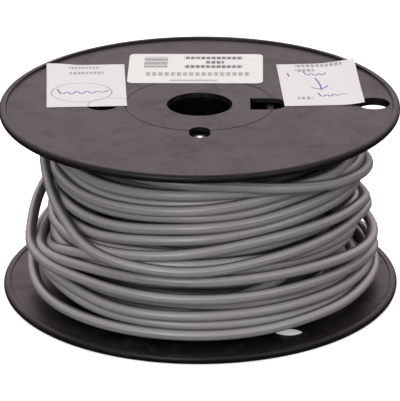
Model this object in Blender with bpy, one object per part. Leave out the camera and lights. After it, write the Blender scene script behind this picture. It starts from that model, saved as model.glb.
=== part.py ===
"""Coil of electrical wire on a black moulded spool that stands on one flange.

Metres, +Z up. The spool's axis is Z and its lower flange rests on z = 0.
"""

import math

import bmesh
import bpy
from mathutils import Matrix, Vector

# Clearance between pieces that touch
GAP = 0.0003

# Spool
OVERALL_HEIGHT = 0.0810
FLANGE_DIAMETER = 0.1651
RIM_HEIGHT = 0.0036
RIM_WIDTH = 0.0034
RIM_OUTER_ROUND = 0.0011
RIM_INNER_ROUND = 0.0004
WEB_THICKNESS = 0.0021
OUTER_RECESS = 0.0008
FLANGE_BORE_DIAMETER = 0.0270
LOWER_FLANGE_TURN = math.radians(-58.0)

# Barrel between the flanges
BARREL_DIAMETER = 0.0610
BARREL_WALL = 0.0025
SLEEVE_BORE_DIAMETER = 0.0257
SLEEVE_WALL = 0.0020
RIB_THICKNESS = 0.0020
RIB_COUNT = 4

# Holes in each flange
THREADING_HOLE_DIAMETER = 0.0132
UPPER_OUTER_HOLE_INSET = 0.01085
LOWER_OUTER_HOLE_INSET = 0.01535
INNER_HOLE_POSITION = 0.0402
DRIVE_SLOT_WIDTH = 0.0130
DRIVE_SLOT_START = 0.0209
DRIVE_SLOT_LENGTH = 0.0150
START_HOLE_WIDTH = 0.0085
START_HOLE_LENGTH = 0.0117
START_HOLE_OFFSET = 0.0018

# Wound wire
WIRE_DIAMETER = 0.0045
COIL_FOOT_DIAMETER = 0.1395
COIL_BELLY_DIAMETER = 0.1405
COIL_WAIST_DIAMETER = 0.1325
COIL_SHOULDER_DIAMETER = 0.1295
BELLY_LEVEL = 0.30
WAIST_LEVEL = 0.60
TURN_RELIEF = 0.0018
WIRE_START_DEPTH = 0.0010
WIRE_START_ROOT = 0.0040

# Paper labels on the upper flange
LABEL_THICKNESS = 0.0003
LABEL_CELL = 0.0036
LABEL_RISE_START = 0.0115
LABEL_RISE_LENGTH = 0.0065
SIDE_LABEL_SIZE = (0.0330, 0.0501)
LEFT_LABEL_CENTRE = (-0.0474, 0.0223)
LEFT_LABEL_TURN = math.radians(2.45)
RIGHT_LABEL_CENTRE = (0.0503, 0.0226)
RIGHT_LABEL_TURN = math.radians(2.65)
CENTRE_LABEL_SIZE = (0.0570, 0.0360)
CENTRE_LABEL_CENTRE = (-0.0016, 0.0425)
CENTRE_LABEL_TURN = math.radians(-1.1)

# Facets of round shapes
FLANGE_SEGMENTS = 64
BARREL_SEGMENTS = 48
COIL_SEGMENTS = 36
TURN_STEPS = 4
HOLE_ARC_STEPS = 10
FILLET_STEPS = 2
CUTTER_MARGIN = 0.002

# Sizes that follow from the ones above
FLANGE_RADIUS = FLANGE_DIAMETER / 2.0
UPPER_OUTER_HOLE_POSITION = FLANGE_RADIUS - UPPER_OUTER_HOLE_INSET
LOWER_OUTER_HOLE_POSITION = FLANGE_RADIUS - LOWER_OUTER_HOLE_INSET
RIM_INNER_RADIUS = FLANGE_RADIUS - RIM_WIDTH
BARREL_RADIUS = BARREL_DIAMETER / 2.0
WEB_INNER_LEVEL = OUTER_RECESS + WEB_THICKNESS
WINDING_LOW = WEB_INNER_LEVEL + GAP
WINDING_HIGH = OVERALL_HEIGHT - WEB_INNER_LEVEL - GAP
WINDING_HEIGHT = WINDING_HIGH - WINDING_LOW
START_HOLE_POSITION = BARREL_RADIUS + START_HOLE_OFFSET
WIRE_START_POSITION = BARREL_RADIUS + GAP + WIRE_DIAMETER / 2.0
UPPER_WEB_TOP = OVERALL_HEIGHT - OUTER_RECESS


def clear_scene():
    """Remove whatever the scene holds."""
    for item in list(bpy.data.objects):
        bpy.data.objects.remove(item, do_unlink=True)


def make_material(name, colour, roughness, metallic=0.0):
    """Plain surface with one colour."""
    material = bpy.data.materials.new(name)
    material.use_nodes = True
    shader = material.node_tree.nodes["Principled BSDF"]
    shader.inputs["Base Color"].default_value = (*colour, 1.0)
    shader.inputs["Roughness"].default_value = roughness
    shader.inputs["Metallic"].default_value = metallic
    material.diffuse_color = (*colour, 1.0)
    return material


def add_object(name, mesh, material=None):
    """Link a mesh to the scene as an object of its own."""
    item = bpy.data.objects.new(name, mesh)
    bpy.context.scene.collection.objects.link(item)
    if material is not None and not mesh.materials:
        mesh.materials.append(material)
    return item


def finish_mesh(name, solid):
    """Turn a bmesh into a mesh whose faces point out and whose round faces are smooth."""
    bmesh.ops.recalc_face_normals(solid, faces=solid.faces[:])
    mesh = bpy.data.meshes.new(name)
    solid.to_mesh(mesh)
    solid.free()
    mesh.shade_smooth()
    mesh.set_sharp_from_angle(angle=math.radians(30.0))
    return mesh


def fillet_corner(before, corner, after, radius, steps):
    """Points of the arc that rounds one corner of an outline."""
    here = Vector(corner)
    back = (Vector(before) - here).normalized()
    ahead = (Vector(after) - here).normalized()
    half_angle = back.angle(ahead) / 2.0
    reach = radius / math.tan(half_angle)
    centre = here + (back + ahead).normalized() * (radius / math.sin(half_angle))
    first = here + back * reach - centre
    last = here + ahead * reach - centre
    return [centre + first.slerp(last, step / steps) * radius for step in range(steps + 1)]


def round_outline(corners):
    """Closed outline from (x, y, rounding) corners, sharp where the rounding is zero."""
    points = []
    count = len(corners)
    for index, (x, y, radius) in enumerate(corners):
        before = corners[index - 1][:2]
        after = corners[(index + 1) % count][:2]
        if radius > 0.0:
            points.extend(fillet_corner(before, (x, y), after, radius, FILLET_STEPS))
        else:
            points.append(Vector((x, y)))
    return points


def turn_outline(name, outline, segments):
    """Spin a closed (radius, height) outline once round Z."""
    solid = bmesh.new()
    corners = [solid.verts.new((radius, 0.0, height)) for radius, height in outline]
    edges = [solid.edges.new((corners[i - 1], corners[i])) for i in range(len(corners))]
    bmesh.ops.spin(
        solid,
        geom=corners + edges,
        cent=(0.0, 0.0, 0.0),
        axis=(0.0, 0.0, 1.0),
        angle=math.tau,
        steps=segments,
        use_merge=True,
    )
    return finish_mesh(name, solid)


def add_prism(solid, outline, low, high):
    """Extrude a closed (x, y) outline from one height to another inside a bmesh."""
    corners = [solid.verts.new((x, y, low)) for x, y in outline]
    base = solid.faces.new(corners)
    lifted = bmesh.ops.extrude_face_region(solid, geom=[base], use_keep_orig=True)
    moved = [part for part in lifted["geom"] if isinstance(part, bmesh.types.BMVert)]
    bmesh.ops.translate(solid, verts=moved, vec=(0.0, 0.0, high - low))


def arc_points(centre, radius, start, end, steps):
    """Points on an arc, both ends included."""
    points = []
    for step in range(steps + 1):
        angle = start + (end - start) * step / steps
        points.append((centre[0] + radius * math.cos(angle), centre[1] + radius * math.sin(angle)))
    return points


def full_circle(centre, diameter):
    """Points round a whole circle."""
    return arc_points(centre, diameter / 2.0, 0.0, math.tau, 2 * HOLE_ARC_STEPS)[:-1]


def threading_hole(distance, side):
    """Round hole on the X axis, on the +X side or the -X side."""
    return full_circle((side * distance, 0.0), THREADING_HOLE_DIAMETER)


def drive_slot():
    """Slot on +X with a square inner end and a half-round outer end."""
    half = DRIVE_SLOT_WIDTH / 2.0
    end_centre = DRIVE_SLOT_START + DRIVE_SLOT_LENGTH - half
    outline = [(DRIVE_SLOT_START, half), (DRIVE_SLOT_START, -half)]
    return outline + arc_points((end_centre, 0.0), half, -math.pi / 2.0, math.pi / 2.0, HOLE_ARC_STEPS)


def start_hole():
    """Long hole on -Y beside the barrel, where the wire's first end comes out."""
    half = START_HOLE_WIDTH / 2.0
    reach = START_HOLE_LENGTH / 2.0 - half
    inner = arc_points((0.0, reach - START_HOLE_POSITION), half, 0.0, math.pi, HOLE_ARC_STEPS)
    outer = arc_points((0.0, -reach - START_HOLE_POSITION), half, math.pi, math.tau, HOLE_ARC_STEPS)
    return inner + outer


def hide_cutter(cutter, host):
    """Keep a cutter out of sight and let it follow the piece that it cuts."""
    cutter.parent = host
    cutter.hide_render = True
    cutter.display_type = "WIRE"


def cut_with(host, cutter, operation="DIFFERENCE"):
    """Boolean one object with another."""
    hide_cutter(cutter, host)
    modifier = host.modifiers.new(cutter.name, "BOOLEAN")
    modifier.operation = operation
    modifier.solver = "EXACT"
    modifier.object = cutter


def flange_outline():
    """Section of a flange, its inner side at z = 0 and its outer side at z = RIM_HEIGHT."""
    web_outer = RIM_HEIGHT - OUTER_RECESS
    web_inner = web_outer - WEB_THICKNESS
    bore = FLANGE_BORE_DIAMETER / 2.0
    return round_outline(
        [
            (bore, web_inner, 0.0),
            (bore, web_outer, 0.0),
            (RIM_INNER_RADIUS, web_outer, 0.0),
            (RIM_INNER_RADIUS, RIM_HEIGHT, RIM_INNER_ROUND),
            (FLANGE_RADIUS, RIM_HEIGHT, RIM_OUTER_ROUND),
            (FLANGE_RADIUS, 0.0, RIM_OUTER_ROUND),
            (RIM_INNER_RADIUS, 0.0, RIM_INNER_ROUND),
            (RIM_INNER_RADIUS, web_inner, 0.0),
        ]
    )


def hole_cutter_mesh(outer_hole_position):
    """The prisms that cut a flange's four side holes."""
    solid = bmesh.new()
    outlines = [
        threading_hole(outer_hole_position, 1.0),
        threading_hole(INNER_HOLE_POSITION, -1.0),
        drive_slot(),
        start_hole(),
    ]
    for outline in outlines:
        add_prism(solid, outline, -CUTTER_MARGIN, RIM_HEIGHT + CUTTER_MARGIN)
    return finish_mesh("flange_holes", solid)


def build_flanges(material):
    """Two flanges of one section, outer sides facing away from each other."""
    body = turn_outline("flange", flange_outline(), FLANGE_SEGMENTS)
    upper = ("flange_top", OVERALL_HEIGHT - RIM_HEIGHT, (0.0, 0.0, 0.0), UPPER_OUTER_HOLE_POSITION)
    lower = ("flange_bottom", RIM_HEIGHT, (math.pi, 0.0, LOWER_FLANGE_TURN), LOWER_OUTER_HOLE_POSITION)
    for name, height, rotation, outer_hole_position in (upper, lower):
        flange = add_object(name, body, material)
        flange.location = (0.0, 0.0, height)
        flange.rotation_euler = rotation
        cut_with(flange, add_object(name + "_holes", hole_cutter_mesh(outer_hole_position)))


def barrel_pockets():
    """Hollows between the barrel's outer wall, its sleeve and the ribs."""
    inner = SLEEVE_BORE_DIAMETER / 2.0 + SLEEVE_WALL
    outer = BARREL_RADIUS - BARREL_WALL
    half_rib = RIB_THICKNESS / 2.0
    step = math.tau / RIB_COUNT
    solid = bmesh.new()
    for index in range(RIB_COUNT):
        start = step * (index - 0.5)
        end = start + step
        far = math.asin(half_rib / outer)
        near = math.asin(half_rib / inner)
        outline = arc_points((0.0, 0.0), outer, start + far, end - far, HOLE_ARC_STEPS)
        outline += arc_points((0.0, 0.0), inner, end - near, start + near, HOLE_ARC_STEPS)
        add_prism(solid, outline, WINDING_LOW - CUTTER_MARGIN, WINDING_HIGH + CUTTER_MARGIN)
    return finish_mesh("barrel_pockets", solid)


def build_barrel(material):
    """Ribbed tube that carries the winding, with a sleeve for the arbor."""
    bore = SLEEVE_BORE_DIAMETER / 2.0
    outline = [
        (bore, WINDING_LOW),
        (bore, WINDING_HIGH),
        (BARREL_RADIUS, WINDING_HIGH),
        (BARREL_RADIUS, WINDING_LOW),
    ]
    barrel = add_object("barrel", turn_outline("barrel", outline, BARREL_SEGMENTS), material)
    cut_with(barrel, add_object("barrel_pockets", barrel_pockets()))


def coil_radius(level):
    """Outer radius of the winding at a share of its height, smooth between the named sizes."""
    stations = [
        (0.0, COIL_FOOT_DIAMETER / 2.0),
        (BELLY_LEVEL, COIL_BELLY_DIAMETER / 2.0),
        (WAIST_LEVEL, COIL_WAIST_DIAMETER / 2.0),
        (1.0, COIL_SHOULDER_DIAMETER / 2.0),
    ]
    for (low, low_radius), (high, high_radius) in zip(stations, stations[1:]):
        if level <= high:
            share = (level - low) / (high - low)
            ease = (1.0 - math.cos(math.pi * share)) / 2.0
            return low_radius + (high_radius - low_radius) * ease
    return stations[-1][1]


def coil_outline():
    """Section of the winding, with a ridge for each turn on its side and on its ends."""
    inner = BARREL_RADIUS + GAP
    side_steps = TURN_STEPS * round(WINDING_HEIGHT / WIRE_DIAMETER)
    side = []
    for step in range(1, side_steps):
        level = step / side_steps
        side.append((coil_radius(level) - turn_groove(step), WINDING_LOW + WINDING_HEIGHT * level))
    foot = end_ridges(inner, coil_radius(0.0) - TURN_RELIEF, WINDING_LOW, 1.0)
    shoulder = end_ridges(inner, coil_radius(1.0) - TURN_RELIEF, WINDING_HIGH, -1.0)
    return foot + side + shoulder[::-1]


def turn_groove(step):
    """How far a point on the winding lies below the round tops of its turns: most between two turns."""
    return TURN_RELIEF * (1.0 - abs(math.sin(math.pi * step / TURN_STEPS)))


def end_ridges(inner, outer, face, inward):
    """Ridges across one end of the winding, from its bore outwards."""
    steps = TURN_STEPS * round((outer - inner) / WIRE_DIAMETER)
    points = []
    for step in range(steps + 1):
        radius = inner + (outer - inner) * step / steps
        points.append((radius, face + inward * turn_groove(step)))
    return points


def wire_start_mesh():
    """The wire's first end, which rises from the winding into the start hole."""
    circle = full_circle((0.0, -WIRE_START_POSITION), WIRE_DIAMETER)
    solid = bmesh.new()
    add_prism(solid, circle, WINDING_HIGH - WIRE_START_ROOT, UPPER_WEB_TOP - WIRE_START_DEPTH)
    return finish_mesh("wire_start", solid)


def build_coil(material):
    """The wound wire as one turned solid with its bore."""
    coil = add_object("wire_coil", turn_outline("wire_coil", coil_outline(), COIL_SEGMENTS), material)
    cut_with(coil, add_object("wire_start", wire_start_mesh()), "UNION")


def label_seat(radius):
    """Height of a label's underside: flat on the web, then up and over the rim."""
    share = (radius - RIM_INNER_RADIUS + LABEL_RISE_START) / LABEL_RISE_LENGTH
    share = min(max(share, 0.0), 1.0)
    ease = share * share * (3.0 - 2.0 * share)
    return UPPER_WEB_TOP + GAP + OUTER_RECESS * ease


def build_label(name, size, centre, turn, material):
    """Thin sheet that lies on the upper flange and laps over its rim."""
    width, length = size
    solid = bmesh.new()
    columns = round(width / LABEL_CELL)
    rows = round(length / LABEL_CELL)
    bmesh.ops.create_grid(solid, x_segments=columns, y_segments=rows, size=0.5)
    bmesh.ops.scale(solid, verts=solid.verts[:], vec=(width, length, 1.0))
    place = Matrix.Translation((*centre, 0.0)) @ Matrix.Rotation(turn, 4, "Z")
    bmesh.ops.transform(solid, matrix=place, verts=solid.verts[:])
    for corner in solid.verts:
        corner.co.z = label_seat(corner.co.xy.length)
    lifted = bmesh.ops.extrude_face_region(solid, geom=solid.faces[:], use_keep_orig=True)
    moved = [part for part in lifted["geom"] if isinstance(part, bmesh.types.BMVert)]
    bmesh.ops.translate(solid, verts=moved, vec=(0.0, 0.0, LABEL_THICKNESS))
    add_object(name, finish_mesh(name, solid), material)


def build_labels(material):
    """Two tall labels at the sides and a wide one between them."""
    build_label("label_left", SIDE_LABEL_SIZE, LEFT_LABEL_CENTRE, LEFT_LABEL_TURN, material)
    build_label("label_right", SIDE_LABEL_SIZE, RIGHT_LABEL_CENTRE, RIGHT_LABEL_TURN, material)
    build_label("label_centre", CENTRE_LABEL_SIZE, CENTRE_LABEL_CENTRE, CENTRE_LABEL_TURN, material)


def main():
    clear_scene()
    plastic = make_material("black_plastic", (0.022, 0.020, 0.021), 0.42)
    insulation = make_material("grey_insulation", (0.195, 0.192, 0.190), 0.45)
    paper = make_material("label_paper", (0.78, 0.77, 0.74), 0.62)
    build_flanges(plastic)
    build_barrel(plastic)
    build_coil(insulation)
    build_labels(paper)


main()
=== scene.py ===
"""Looks of the coil of electrical wire: spool, winding, paper labels and a plain studio."""

import math
import random

import bmesh
import bpy
import numpy as np
from bpy.props import FloatProperty, FloatVectorProperty, IntProperty, PointerProperty
from mathutils import Matrix, Vector


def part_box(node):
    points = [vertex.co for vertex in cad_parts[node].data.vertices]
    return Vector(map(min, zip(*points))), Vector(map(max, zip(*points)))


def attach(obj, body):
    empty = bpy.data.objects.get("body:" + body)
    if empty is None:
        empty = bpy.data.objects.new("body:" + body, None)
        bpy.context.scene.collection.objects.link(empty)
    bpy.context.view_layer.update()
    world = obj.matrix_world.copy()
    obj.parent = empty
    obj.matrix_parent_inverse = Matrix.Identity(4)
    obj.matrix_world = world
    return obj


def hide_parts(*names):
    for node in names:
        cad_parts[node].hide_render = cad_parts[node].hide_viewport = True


bl_info = {
    "name": "Coil of electrical wire",
    "version": (1, 0, 0),
    "blender": (4, 5, 0),
    "location": "View3D > Sidebar > Wire coil",
    "description": "Dresses a packed spool of grey electrical wire",
    "category": "Object",
}

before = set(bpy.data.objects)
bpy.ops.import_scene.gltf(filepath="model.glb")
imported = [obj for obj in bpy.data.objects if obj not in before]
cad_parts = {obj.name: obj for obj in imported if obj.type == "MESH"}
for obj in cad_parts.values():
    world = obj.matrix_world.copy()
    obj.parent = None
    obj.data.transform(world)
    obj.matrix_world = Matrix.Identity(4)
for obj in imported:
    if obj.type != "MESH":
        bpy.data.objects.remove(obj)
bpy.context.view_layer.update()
TOP_LOW, TOP_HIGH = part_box("flange_top")

MM = 0.001
WELD = 1e-6
SPOOL_HEIGHT = TOP_HIGH.z
FLANGE_RADIUS = TOP_HIGH.x
RIM_HEIGHT = TOP_HIGH.z - TOP_LOW.z
BARREL_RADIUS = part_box("barrel")[1].x


class SpoolSizes(bpy.types.PropertyGroup):
    """Sizes and colour of the moulded spool."""

    web_thickness: FloatProperty(
        name="Web thickness", description="Thickness of the flat part of a flange",
        default=0.0021, unit="LENGTH")
    recess: FloatProperty(
        name="Recess", description="Depth of the web below the rim on the outer side",
        default=0.0010, unit="LENGTH")
    rim_width: FloatProperty(
        name="Rim width", description="Width of the thick rim", default=0.0030, unit="LENGTH")
    rim_round: FloatProperty(
        name="Rim rounding", description="Rounding of the rim's outer edges", default=0.0017, unit="LENGTH")
    collar_height: FloatProperty(
        name="Collar height", description="How far the collar of an outer hole stands past the rim",
        default=0.0008, unit="LENGTH")
    collar_wall: FloatProperty(
        name="Collar wall", description="Wall of the collar round an outer threading hole", default=0.0012,
        unit="LENGTH")
    bore: FloatProperty(
        name="Bore", description="Diameter of the arbor bore", default=0.0270, unit="LENGTH")
    witness_radius: FloatProperty(
        name="Witness radius", description="Radius of the fine groove round the hub",
        default=0.0306, unit="LENGTH")
    witness_depth: FloatProperty(
        name="Witness depth", description="Depth of the fine groove", default=0.00034, unit="LENGTH")
    hole: FloatProperty(
        name="Threading hole", description="Diameter of the threading holes", default=0.0132, unit="LENGTH")
    upper_hole_position: FloatProperty(
        name="Upper hole position", description="Upper threading hole's distance from the axis",
        default=0.0717, unit="LENGTH")
    lower_hole_position: FloatProperty(
        name="Lower hole position", description="Lower threading hole's distance from the axis",
        default=0.0672, unit="LENGTH")
    inner_hole_position: FloatProperty(
        name="Inner hole position", description="Inner threading hole's distance from the axis",
        default=0.0402, unit="LENGTH")
    slot_width: FloatProperty(
        name="Drive slot width", description="Width of the drive slot", default=0.0130, unit="LENGTH")
    slot_start: FloatProperty(
        name="Drive slot start", description="Drive slot's inner end from the axis",
        default=0.0209, unit="LENGTH")
    slot_length: FloatProperty(
        name="Drive slot length", description="Length of the drive slot", default=0.0150, unit="LENGTH")
    start_width: FloatProperty(
        name="Start hole width", description="Width of the hole for the wire's first end",
        default=0.0085, unit="LENGTH")
    start_length: FloatProperty(
        name="Start hole length", description="Length of the hole for the wire's first end",
        default=0.0117, unit="LENGTH")
    start_offset: FloatProperty(
        name="Start hole offset", description="How far the start hole's middle lies outside the barrel",
        default=0.0018, unit="LENGTH")
    lower_turn: FloatProperty(
        name="Lower flange turn", description="Turn of the lower flange round the axis",
        default=math.radians(-58.0), subtype="ANGLE")
    edge_break: FloatProperty(
        name="Edge break", description="Rounding of the holes' edges", default=0.00022, unit="LENGTH")
    segments: IntProperty(name="Segments", description="Facets round a flange", default=192)
    colour: FloatVectorProperty(
        name="Plastic", description="Colour of the moulded plastic", default=(0.0036, 0.0028, 0.0030),
        subtype="COLOR")


class WireSizes(bpy.types.PropertyGroup):
    """Sizes, lay and colour of the wound wire."""

    diameter: FloatProperty(
        name="Wire diameter", description="Diameter over the insulation", default=0.0045, unit="LENGTH")
    conductor: FloatProperty(
        name="Conductor", description="Diameter of the conductor in the cut end",
        default=0.0020, unit="LENGTH")
    start_depth: FloatProperty(
        name="Start depth", description="How far the wire's first end stays below the flange",
        default=0.0018, unit="LENGTH")
    first_turns: IntProperty(
        name="First turns", description="Turns wound by the traverse before the outer ones", default=66)
    layer_turns: FloatProperty(
        name="Turns in a layer", description="Turns from one flange to the other", default=13.0)
    wander: FloatProperty(
        name="Wander", description="How far a hidden turn strays from the traverse",
        default=0.0015, unit="LENGTH")
    turn_steps: IntProperty(name="Steps in a turn", description="Points round one outer turn", default=90)
    sides: IntProperty(name="Sides", description="Facets round the wire", default=14)
    seed: IntProperty(name="Seed", description="Seed of the wander", default=11)
    colour: FloatVectorProperty(
        name="Insulation", description="Colour of the insulation",
        default=(0.225, 0.230, 0.238), subtype="COLOR")


class LabelSizes(bpy.types.PropertyGroup):
    """Sizes and colours of the paper labels."""

    thickness: FloatProperty(
        name="Paper thickness", description="Thickness of the label paper", default=0.00014, unit="LENGTH")
    clearance: FloatProperty(
        name="Clearance", description="Glue line below a label", default=0.00006, unit="LENGTH")
    side_width: FloatProperty(
        name="Side label width", description="Width of the two side labels", default=0.0330, unit="LENGTH")
    side_length: FloatProperty(
        name="Side label length", description="Length of the two side labels",
        default=0.0501, unit="LENGTH")
    centre_width: FloatProperty(
        name="Centre label width", description="Width of the middle label", default=0.0570, unit="LENGTH")
    centre_length: FloatProperty(
        name="Centre label length", description="Length of the middle label", default=0.0360, unit="LENGTH")
    corner: FloatProperty(
        name="Corner", description="Corner rounding of the middle label", default=0.0026, unit="LENGTH")
    curl: FloatProperty(
        name="Curl", description="How far the right label's free edge lifts", default=0.0011, unit="LENGTH")
    paper: FloatVectorProperty(
        name="Side paper", description="Colour of the side labels",
        default=(0.465, 0.49, 0.49), subtype="COLOR")
    card: FloatVectorProperty(
        name="Centre paper", description="Colour of the middle label", default=(0.49, 0.53, 0.50),
        subtype="COLOR")
    print_ink: FloatVectorProperty(
        name="Printing ink", description="Colour of the printed marks", default=(0.045, 0.045, 0.05),
        subtype="COLOR")
    pen_ink: FloatVectorProperty(
        name="Pen ink", description="Colour of the pen strokes",
        default=(0.025, 0.02, 0.16), subtype="COLOR")


class StudioSettings(bpy.types.PropertyGroup):
    """Camera, floor and light."""

    distance: FloatProperty(
        name="Camera distance", description="Distance from the camera to the aim point",
        default=1.33429, unit="LENGTH")
    elevation: FloatProperty(
        name="Camera elevation", description="Angle of the camera above the floor",
        default=math.radians(22.3037), subtype="ANGLE")
    roll: FloatProperty(
        name="Camera roll", description="Turn of the picture",
        default=math.radians(-0.2469), subtype="ANGLE")
    aim_height: FloatProperty(
        name="Aim height", description="Height of the point in the middle of the picture",
        default=0.03706, unit="LENGTH")
    lens: FloatProperty(
        name="Focal length", description="Lens on a 36 mm sensor, in millimetres", default=287.4)
    floor: FloatVectorProperty(
        name="Floor", description="Colour of the floor", default=(0.98, 0.98, 0.98), subtype="COLOR")
    floor_light: FloatProperty(
        name="Floor light", description="Light that the floor gives off, so that shadows stay pale",
        default=0.33)
    key_power: FloatProperty(
        name="Key light", description="Power of the main soft light in watts", default=12.0)
    around_light: FloatProperty(
        name="Light around", description="Brightness of the light above the horizon on all sides",
        default=0.36)
    overhead: FloatProperty(
        name="Overhead light", description="Brightness added from above", default=0.55)
    backdrop: FloatProperty(name="Backdrop", description="Brightness added from behind", default=2.4)
    low_light: FloatProperty(
        name="Low light", description="Brightness of the light from below", default=0.05)
    light_colour: FloatVectorProperty(
        name="Light colour", description="Tint of the surrounding light", default=(1.0, 0.96, 0.975),
        subtype="COLOR")
    backdrop_colour: FloatVectorProperty(
        name="Backdrop colour", description="Tint of the light from behind", default=(1.0, 0.77, 0.80),
        subtype="COLOR")


class Signal:
    """A value that runs through a finish's nodes, with Python's operators for its sums."""

    def __init__(self, finish, socket):
        self.finish = finish
        self.socket = socket

    def sum(self, operation, *values, clamp=False):
        settings = {"operation": operation, "use_clamp": clamp}
        return self.finish.node("ShaderNodeMath", settings, dict(enumerate(values)))

    def __add__(self, other):
        return self.sum("ADD", self, other)

    def __sub__(self, other):
        return self.sum("SUBTRACT", self, other)

    def __rsub__(self, other):
        return self.sum("SUBTRACT", other, self)

    def __mul__(self, other):
        return self.sum("MULTIPLY", self, other)

    def __truediv__(self, other):
        return self.sum("DIVIDE", self, other)

    def __abs__(self):
        return self.sum("ABSOLUTE", self)

    __radd__ = __add__
    __rmul__ = __mul__

    def above(self, edge, softness):
        """0 below the edge, 1 above it, with a soft step."""
        return self.sum("MULTIPLY_ADD", self, 1.0 / softness, 0.5 - edge / softness, clamp=True)

    def below(self, edge, softness):
        """1 below the edge, 0 above it, with a soft step."""
        return self.sum("MULTIPLY_ADD", self, -1.0 / softness, 0.5 + edge / softness, clamp=True)

    def either(self, other):
        """The larger of two masks."""
        return self.sum("MAXIMUM", self, other)

    def fraction(self):
        return self.sum("FRACT", self)


class NodeWork:
    """Nodes under construction."""

    def __init__(self, owner):
        owner.use_nodes = True
        self.tree = owner.node_tree

    def node(self, kind, settings=None, inputs=None, output=0):
        """One node: its settings first, then the values or links of its sockets."""
        made = self.tree.nodes.new(kind)
        for name, value in (settings or {}).items():
            setattr(made, name, value)
        for key, value in (inputs or {}).items():
            self.feed(made.inputs[key], value)
        return Signal(self, made.outputs[output])

    def feed(self, socket, value):
        if isinstance(value, Signal):
            self.tree.links.new(value.socket, socket)
        else:
            socket.default_value = value

    def axis(self, vector, index):
        return self.node("ShaderNodeSeparateXYZ", None, {0: vector}, output=index)

    def mix(self, share, first, second):
        """One colour over another."""
        inputs = {0: share, 6: self.colour(first), 7: self.colour(second)}
        return self.node("ShaderNodeMix", {"data_type": "RGBA"}, inputs, output=2)

    def colour(self, value):
        return value if isinstance(value, Signal) else (*value, 1.0)


class Finish(NodeWork):
    """A material under construction."""

    def __init__(self, name, **constants):
        self.material = bpy.data.materials.new(name)
        super().__init__(self.material)
        self.shader = self.tree.nodes["Principled BSDF"]
        for socket, value in constants.items():
            self.shader.inputs[socket.replace("_", " ")].default_value = value

    def drive(self, name, value):
        """Feed one of the shader's own sockets."""
        self.feed(self.shader.inputs[name], value)

    def position(self):
        """The point on the piece, in metres."""
        return self.node("ShaderNodeTexCoord", output="Object")

    def placed(self, centre=(0.0, 0.0, 0.0), turn=0.0, scale=(1.0, 1.0, 1.0)):
        """The point as seen from a centre, turned back, in units of the scale."""
        inputs = {
            "Vector": self.position(), "Location": centre, "Rotation": (0.0, 0.0, turn), "Scale": scale}
        return self.node("ShaderNodeMapping", {"vector_type": "TEXTURE"}, inputs)

    def noise(self, vector, scale, detail=2.0, roughness=0.5):
        inputs = {"Vector": vector, "Scale": scale, "Detail": detail, "Roughness": roughness}
        return self.node("ShaderNodeTexNoise", {"noise_dimensions": "3D"}, inputs)

    def vector_sum(self, operation, inputs, output=0):
        return self.node("ShaderNodeVectorMath", {"operation": operation}, inputs, output)

    def flat_position(self):
        """Position without its height."""
        return self.vector_sum("MULTIPLY", {0: self.position(), 1: (1.0, 1.0, 0.0)})

    def from_axis(self):
        """Distance from the spool's axis."""
        return self.vector_sum("LENGTH", {0: self.flat_position()}, "Value")

    def flank(self):
        """1 on the sides of a strand that face its neighbours, 0 where it faces away from the axis."""
        outward = self.vector_sum("NORMALIZE", {0: self.flat_position()})
        normal = self.node("ShaderNodeNewGeometry", output="Normal")
        facing = self.vector_sum("DOT_PRODUCT", {0: normal, 1: outward}, "Value")
        return facing.below(0.22, 0.6)

    def bump(self, height, distance):
        inputs = {"Height": height, "Distance": distance, "Strength": 1.0}
        normal = self.node("ShaderNodeBump", None, inputs)
        self.drive("Normal", normal)


def lighter(colour, factor):
    return tuple(min(1.0, channel * factor) for channel in colour)


def plastic_finish(name, colour, wear, gloss):
    """Black moulded plastic: faint haze, and fine rub marks and specks of dust where it is worn."""
    finish = Finish(name, Specular_IOR_Level=gloss)
    point = finish.position()
    haze = finish.noise(point, 55.0, 3.0, 0.55)
    grain = finish.noise(point, 1600.0, 2.0)
    marks = None
    for turn, stretch in ((0.5, 9.0), (2.0, 12.0), (-0.6, 7.0)):
        along = finish.placed(turn=turn, scale=(stretch, 1.0, 1.0))
        streak = finish.noise(along, 900.0, 1.0).above(0.72, 0.05)
        marks = streak if marks is None else marks.either(streak)
    specks = finish.noise(point, 700.0, 1.0).above(0.76, 0.03)
    dust = finish.noise(point, 120.0, 4.0, 0.7).above(0.62, 0.25)
    body = finish.mix(haze, lighter(colour, 0.8), lighter(colour, 1.3))
    dusty = finish.mix(dust * (0.22 * wear), body, (0.034, 0.030, 0.030))
    marked = finish.mix(marks * (0.1 * wear) + specks * (0.28 * wear), dusty, (0.12, 0.112, 0.11))
    finish.drive("Base Color", marked)
    finish.drive("Roughness", haze * 0.16 + 0.33 + marks * 0.14 + dust * 0.14)
    finish.bump(haze * 1.0 + grain * 0.12 + marks * 0.08, 0.00012)
    return finish.material


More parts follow.
